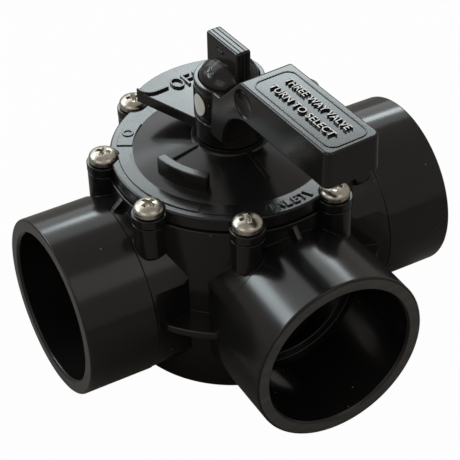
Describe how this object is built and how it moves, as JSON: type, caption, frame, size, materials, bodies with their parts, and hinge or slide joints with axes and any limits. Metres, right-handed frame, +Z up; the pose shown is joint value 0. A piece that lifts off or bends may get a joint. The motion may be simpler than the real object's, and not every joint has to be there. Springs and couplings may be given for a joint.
{
  "type": "three way diverter valve",
  "caption": "Plastic three-port diverter valve with solvent sockets, screwed cover, turning handle with a pointer plate and a locking knob.",
  "frame": {"origin": "on the stem's axis, at the flat base of the body", "axes": "+Z up along the stem, +X towards port C and -X towards port A (the straight run), -Y towards port B, the inlet"},
  "size_m": [0.165, 0.1356, 0.1345],
  "materials": {
    "moulded_black": "gloss",
    "inner_black": "satin",
    "seal_rubber": "matte",
    "insert_brass": "satin",
    "stainless": "satin",
    "sticker": "matte"
  },
  "bodies": {
    "housing": {"valve_body": "moulded_black", "cover": "moulded_black", "cover_o_ring": "seal_rubber", "cover_screw_1": "stainless", "cover_screw_2": "stainless", "cover_screw_3": "stainless", "cover_screw_4": "stainless", "cover_screw_5": "stainless", "cover_screw_6": "stainless", "cover_screw_7": "stainless", "cover_screw_8": "stainless"},
    "rotor": {"handle": "moulded_black", "hub_sticker": "sticker", "diverter": "inner_black", "diverter_seal": "seal_rubber", "shaft_o_ring_lower": "seal_rubber", "shaft_o_ring_upper": "seal_rubber", "stem_insert": "insert_brass"},
    "lock": {"locking_knob": "moulded_black", "locking_stud": "stainless"}
  },
  "joints": [
    {"name": "handle_turn", "type": "hinge", "parent": "housing", "child": "rotor", "pos_m": [0, 0, 0.095], "axis": [0, 0, 1], "range_deg": [-93.6, 86.4]},
    {"name": "lock_turn", "type": "hinge", "parent": "rotor", "child": "lock", "pos_m": [0, 0, 0.112], "axis": [0, 0, 1], "range_deg": [0, 180]}
  ]
}
